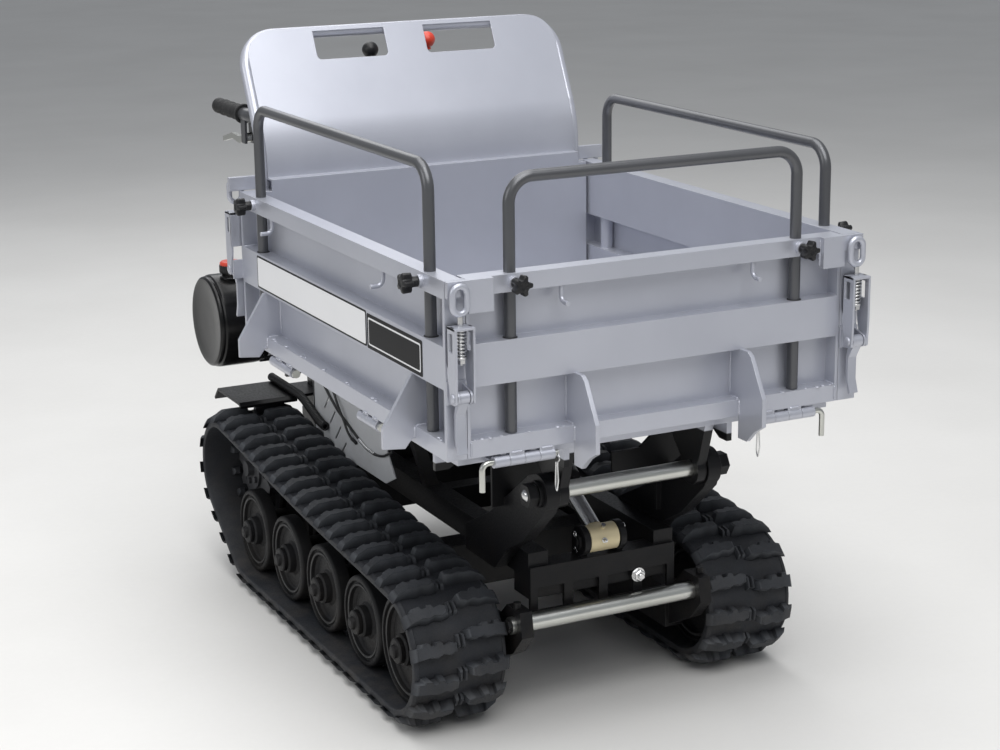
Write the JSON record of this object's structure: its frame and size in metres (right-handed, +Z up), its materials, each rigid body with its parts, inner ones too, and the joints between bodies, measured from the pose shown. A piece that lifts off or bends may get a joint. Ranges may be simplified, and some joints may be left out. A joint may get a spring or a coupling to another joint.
{
  "type": "tracked power carrier",
  "caption": "Walk-behind tracked carrier with a tipping drop-sided bed, tube hoops, curved rear shield, rubber tracks and hydraulic tip gear.",
  "frame": {"origin": "on the ground under the middle of the overall length and width", "axes": "-Y to the front where the load is tipped, +Y to the operator, +X to the operator's left, +Z up"},
  "size_m": [0.918, 1.424, 1.181],
  "materials": {
    "silver_paint": "satin silver paint",
    "hoop_paint": "satin dark grey paint",
    "black_paint": "semi-gloss black paint",
    "grey_paint": "satin light grey paint",
    "zinc_steel": "zinc plated",
    "track_rubber": "matt black rubber",
    "grip_rubber": "ribbed black rubber",
    "hose_rubber": "black hose",
    "black_plastic": "matt black plastic",
    "red_plastic": "red plastic",
    "engine_alloy": "cast",
    "gear_iron": "painted casting",
    "rod_cream": "cream primer and chromed rod"
  },
  "bodies": {
    "chassis": {"main_frame": "black_paint", "track_frames": "black_paint", "front_shafts": "zinc_steel", "frame_fasteners": "zinc_steel", "side_covers": "grey_paint", "rear_fenders": "black_paint", "engine_block": "engine_alloy", "engine_cowl": "black_plastic", "muffler": "black_paint", "gearbox": "gear_iron", "valve_block": "engine_alloy", "oil_tank": "black_plastic", "hydraulic_hoses": "hose_rubber", "handlebar": "hoop_paint", "handle_grips": "grip_rubber", "control_console": "black_plastic", "track_right": "track_rubber", "track_left": "track_rubber"},
    "bed": {"bed_floor": "silver_paint", "hinge_pins": "zinc_steel", "rear_shield": "silver_paint"},
    "oil_tank_cap": {"oil_tank_cap": "red_plastic"},
    "sprocket_right": {"sprocket_right": "gear_iron"},
    "sprocket_left": {"sprocket_left": "gear_iron"},
    "idler_right": {"idler_right": "black_paint"},
    "idler_left": {"idler_left": "black_paint"},
    "side_panel_right": {"side_panel_right": "silver_paint"},
    "side_panel_left": {"side_panel_left": "silver_paint"},
    "front_gate": {"front_gate": "silver_paint"},
    "hoop_right": {"hoop_right": "hoop_paint"},
    "hoop_left": {"hoop_left": "hoop_paint"},
    "hoop_front": {"hoop_front": "hoop_paint"},
    "cylinder_rod": {"cylinder_rod": "rod_cream"},
    "cylinder_barrel": {"cylinder_barrel": "black_paint"},
    "tip_lever": {"tip_lever": "red_plastic"},
    "gear_lever": {"gear_lever": "black_plastic"},
    "steering_lever_right": {"steering_lever_right": "zinc_steel"},
    "steering_lever_left": {"steering_lever_left": "zinc_steel"},
    "wheel_right_1": {"wheel_right_1": "black_plastic"},
    "wheel_right_2": {"wheel_right_2": "black_plastic"},
    "wheel_right_3": {"wheel_right_3": "black_plastic"},
    "wheel_right_4": {"wheel_right_4": "black_plastic"},
    "knob_right_front": {"knob_right_front": "black_plastic"},
    "hook_front_right": {"hook_front_right": "silver_paint"},
    "lever_front_right": {"lever_front_right": "silver_paint"},
    "knob_right_rear": {"knob_right_rear": "black_plastic"},
    "hook_rear_right": {"hook_rear_right": "silver_paint"},
    "lever_rear_right": {"lever_rear_right": "silver_paint"},
    "knob_gate_right": {"knob_gate_right": "black_plastic"},
    "wheel_left_1": {"wheel_left_1": "black_plastic"},
    "wheel_left_2": {"wheel_left_2": "black_plastic"},
    "wheel_left_3": {"wheel_left_3": "black_plastic"},
    "wheel_left_4": {"wheel_left_4": "black_plastic"},
    "knob_left_front": {"knob_left_front": "black_plastic"},
    "hook_front_left": {"hook_front_left": "silver_paint"},
    "lever_front_left": {"lever_front_left": "silver_paint"},
    "knob_left_rear": {"knob_left_rear": "black_plastic"},
    "hook_rear_left": {"hook_rear_left": "silver_paint"},
    "lever_rear_left": {"lever_rear_left": "silver_paint"},
    "knob_gate_left": {"knob_gate_left": "black_plastic"}
  },
  "joints": [
    {"name": "tip", "type": "hinge", "parent": "chassis", "child": "bed", "pos_m": [0, -0.525, 0.455], "axis": [1, 0, 0], "range_deg": [0, 45]},
    {"name": "gate_drop", "type": "hinge", "parent": "bed", "child": "front_gate", "pos_m": [0, -0.635, 0.563], "axis": [1, 0, 0], "range_deg": [0, 77]},
    {"name": "side_right_drop", "type": "hinge", "parent": "bed", "child": "side_panel_right", "pos_m": [-0.395, -0.164, 0.563], "axis": [0, -1, 0], "range_deg": [0, 90]},
    {"name": "hoop_right_lift", "type": "slide", "parent": "side_panel_right", "child": "hoop_right", "axis": [0, 0, 1], "range_m": [0, 0.08]},
    {"name": "knob_right_front_turn", "type": "hinge", "parent": "side_panel_right", "child": "knob_right_front", "pos_m": [-0.409, -0.555, 0.862], "axis": [-1, 0, 0], "continuous": true},
    {"name": "knob_right_rear_turn", "type": "hinge", "parent": "side_panel_right", "child": "knob_right_rear", "pos_m": [-0.409, 0.23, 0.862], "axis": [-1, 0, 0], "continuous": true},
    {"name": "knob_gate_right_turn", "type": "hinge", "parent": "front_gate", "child": "knob_gate_right", "pos_m": [-0.277, -0.648, 0.862], "axis": [0, -1, 0], "continuous": true},
    {"name": "hook_front_right_swing", "type": "hinge", "parent": "side_panel_right", "child": "hook_front_right", "pos_m": [-0.38275, -0.665, 0.69], "axis": [1, 0, 0], "range_deg": [0, 146.3]},
    {"name": "hook_rear_right_swing", "type": "hinge", "parent": "side_panel_right", "child": "hook_rear_right", "pos_m": [-0.40275, 0.337, 0.718], "axis": [-1, 0, 0], "range_deg": [0, 150]},
    {"name": "lever_front_right_swing", "type": "hinge", "parent": "side_panel_right", "child": "lever_front_right", "pos_m": [-0.38275, -0.665, 0.69], "axis": [-1, 0, 0], "range_deg": [0, 130]},
    {"name": "lever_rear_right_swing", "type": "hinge", "parent": "side_panel_right", "child": "lever_rear_right", "pos_m": [-0.40275, 0.337, 0.718], "axis": [1, 0, 0], "range_deg": [0, 130]},
    {"name": "sprocket_right_turn", "type": "hinge", "parent": "chassis", "child": "sprocket_right", "pos_m": [-0.302, 0.552, 0.225], "axis": [1, 0, 0], "continuous": true},
    {"name": "idler_right_turn", "type": "hinge", "parent": "chassis", "child": "idler_right", "pos_m": [-0.302, -0.352, 0.139], "axis": [1, 0, 0], "continuous": true},
    {"name": "wheel_right_1_turn", "type": "hinge", "parent": "chassis", "child": "wheel_right_1", "pos_m": [-0.302, -0.156, 0.125], "axis": [1, 0, 0], "continuous": true},
    {"name": "wheel_right_2_turn", "type": "hinge", "parent": "chassis", "child": "wheel_right_2", "pos_m": [-0.302, 0.04, 0.125], "axis": [1, 0, 0], "continuous": true},
    {"name": "wheel_right_3_turn", "type": "hinge", "parent": "chassis", "child": "wheel_right_3", "pos_m": [-0.302, 0.235, 0.125], "axis": [1, 0, 0], "continuous": true},
    {"name": "wheel_right_4_turn", "type": "hinge", "parent": "chassis", "child": "wheel_right_4", "pos_m": [-0.302, 0.431, 0.125], "axis": [1, 0, 0], "continuous": true},
    {"name": "steering_right_squeeze", "type": "hinge", "parent": "chassis", "child": "steering_lever_right", "pos_m": [-0.3, 0.531, 0.949], "axis": [1, 0, 0], "range_deg": [0, 14]},
    {"name": "side_left_drop", "type": "hinge", "parent": "bed", "child": "side_panel_left", "pos_m": [0.395, -0.164, 0.563], "axis": [0, 1, 0], "range_deg": [0, 90]},
    {"name": "hoop_left_lift", "type": "slide", "parent": "side_panel_left", "child": "hoop_left", "axis": [0, 0, 1], "range_m": [0, 0.08]},
    {"name": "knob_left_front_turn", "type": "hinge", "parent": "side_panel_left", "child": "knob_left_front", "pos_m": [0.409, -0.555, 0.862], "axis": [1, 0, 0], "continuous": true},
    {"name": "knob_left_rear_turn", "type": "hinge", "parent": "side_panel_left", "child": "knob_left_rear", "pos_m": [0.409, 0.23, 0.862], "axis": [1, 0, 0], "continuous": true},
    {"name": "knob_gate_left_turn", "type": "hinge", "parent": "front_gate", "child": "knob_gate_left", "pos_m": [0.277, -0.648, 0.862], "axis": [0, -1, 0], "continuous": true},
    {"name": "hook_front_left_swing", "type": "hinge", "parent": "side_panel_left", "child": "hook_front_left", "pos_m": [0.38275, -0.665, 0.69], "axis": [1, 0, 0], "range_deg": [0, 146.3]},
    {"name": "hook_rear_left_swing", "type": "hinge", "parent": "side_panel_left", "child": "hook_rear_left", "pos_m": [0.40275, 0.337, 0.718], "axis": [-1, 0, 0], "range_deg": [0, 150]},
    {"name": "lever_front_left_swing", "type": "hinge", "parent": "side_panel_left", "child": "lever_front_left", "pos_m": [0.38275, -0.665, 0.69], "axis": [-1, 0, 0], "range_deg": [0, 130]},
    {"name": "lever_rear_left_swing", "type": "hinge", "parent": "side_panel_left", "child": "lever_rear_left", "pos_m": [0.40275, 0.337, 0.718], "axis": [1, 0, 0], "range_deg": [0, 130]},
    {"name": "sprocket_left_turn", "type": "hinge", "parent": "chassis", "child": "sprocket_left", "pos_m": [0.302, 0.552, 0.225], "axis": [1, 0, 0], "continuous": true},
    {"name": "idler_left_turn", "type": "hinge", "parent": "chassis", "child": "idler_left", "pos_m": [0.302, -0.352, 0.139], "axis": [1, 0, 0], "continuous": true},
    {"name": "wheel_left_1_turn", "type": "hinge", "parent": "chassis", "child": "wheel_left_1", "pos_m": [0.302, -0.156, 0.125], "axis": [1, 0, 0], "continuous": true},
    {"name": "wheel_left_2_turn", "type": "hinge", "parent": "chassis", "child": "wheel_left_2", "pos_m": [0.302, 0.04, 0.125], "axis": [1, 0, 0], "continuous": true},
    {"name": "wheel_left_3_turn", "type": "hinge", "parent": "chassis", "child": "wheel_left_3", "pos_m": [0.302, 0.235, 0.125], "axis": [1, 0, 0], "continuous": true},
    {"name": "wheel_left_4_turn", "type": "hinge", "parent": "chassis", "child": "wheel_left_4", "pos_m": [0.302, 0.431, 0.125], "axis": [1, 0, 0], "continuous": true},
    {"name": "steering_left_squeeze", "type": "hinge", "parent": "chassis", "child": "steering_lever_left", "pos_m": [0.3, 0.531, 0.949], "axis": [1, 0, 0], "range_deg": [0, 14]},
    {"name": "hoop_front_lift", "type": "slide", "parent": "front_gate", "child": "hoop_front", "axis": [0, 0, 1], "range_m": [0, 0.08]},
    {"name": "rod_swing", "type": "hinge", "parent": "chassis", "child": "cylinder_rod", "pos_m": [0, -0.427, 0.316], "axis": [1, 0, 0], "range_deg": [0, 41.02]},
    {"name": "barrel_stroke", "type": "slide", "parent": "cylinder_rod", "child": "cylinder_barrel", "axis": [0, 0.8772, 0.4802], "range_m": [0, 0.12709]},
    {"name": "tip_lever_swing", "type": "hinge", "parent": "chassis", "child": "tip_lever", "pos_m": [0.108, 0.52, 0.88], "axis": [1, 0, 0], "range_deg": [-10, 10]},
    {"name": "gear_lever_swing", "type": "hinge", "parent": "chassis", "child": "gear_lever", "pos_m": [-0.024, 0.52, 0.88], "axis": [1, 0, 0], "range_deg": [-10, 10]},
    {"name": "oil_cap_turn", "type": "hinge", "parent": "chassis", "child": "oil_tank_cap", "pos_m": [-0.33, 0.592, 0.66], "axis": [0, 0, 1], "continuous": true}
  ],
  "couplings": [
    {"joint": "hook_front_right_swing", "follows": "gate_drop", "ratio": 1.9},
    {"joint": "idler_right_turn", "follows": "sprocket_right_turn", "ratio": 0.96117},
    {"joint": "wheel_right_1_turn", "follows": "sprocket_right_turn", "ratio": 1.1124},
    {"joint": "wheel_right_2_turn", "follows": "sprocket_right_turn", "ratio": 1.1124},
    {"joint": "wheel_right_3_turn", "follows": "sprocket_right_turn", "ratio": 1.1124},
    {"joint": "wheel_right_4_turn", "follows": "sprocket_right_turn", "ratio": 1.1124},
    {"joint": "hook_front_left_swing", "follows": "gate_drop", "ratio": 1.9},
    {"joint": "idler_left_turn", "follows": "sprocket_left_turn", "ratio": 0.96117},
    {"joint": "wheel_left_1_turn", "follows": "sprocket_left_turn", "ratio": 1.1124},
    {"joint": "wheel_left_2_turn", "follows": "sprocket_left_turn", "ratio": 1.1124},
    {"joint": "wheel_left_3_turn", "follows": "sprocket_left_turn", "ratio": 1.1124},
    {"joint": "wheel_left_4_turn", "follows": "sprocket_left_turn", "ratio": 1.1124},
    {"joint": "rod_swing", "follows": "tip", "ratio": 0.9116},
    {"joint": "barrel_stroke", "follows": "tip", "m_per_rad": 0.16182}
  ]
}
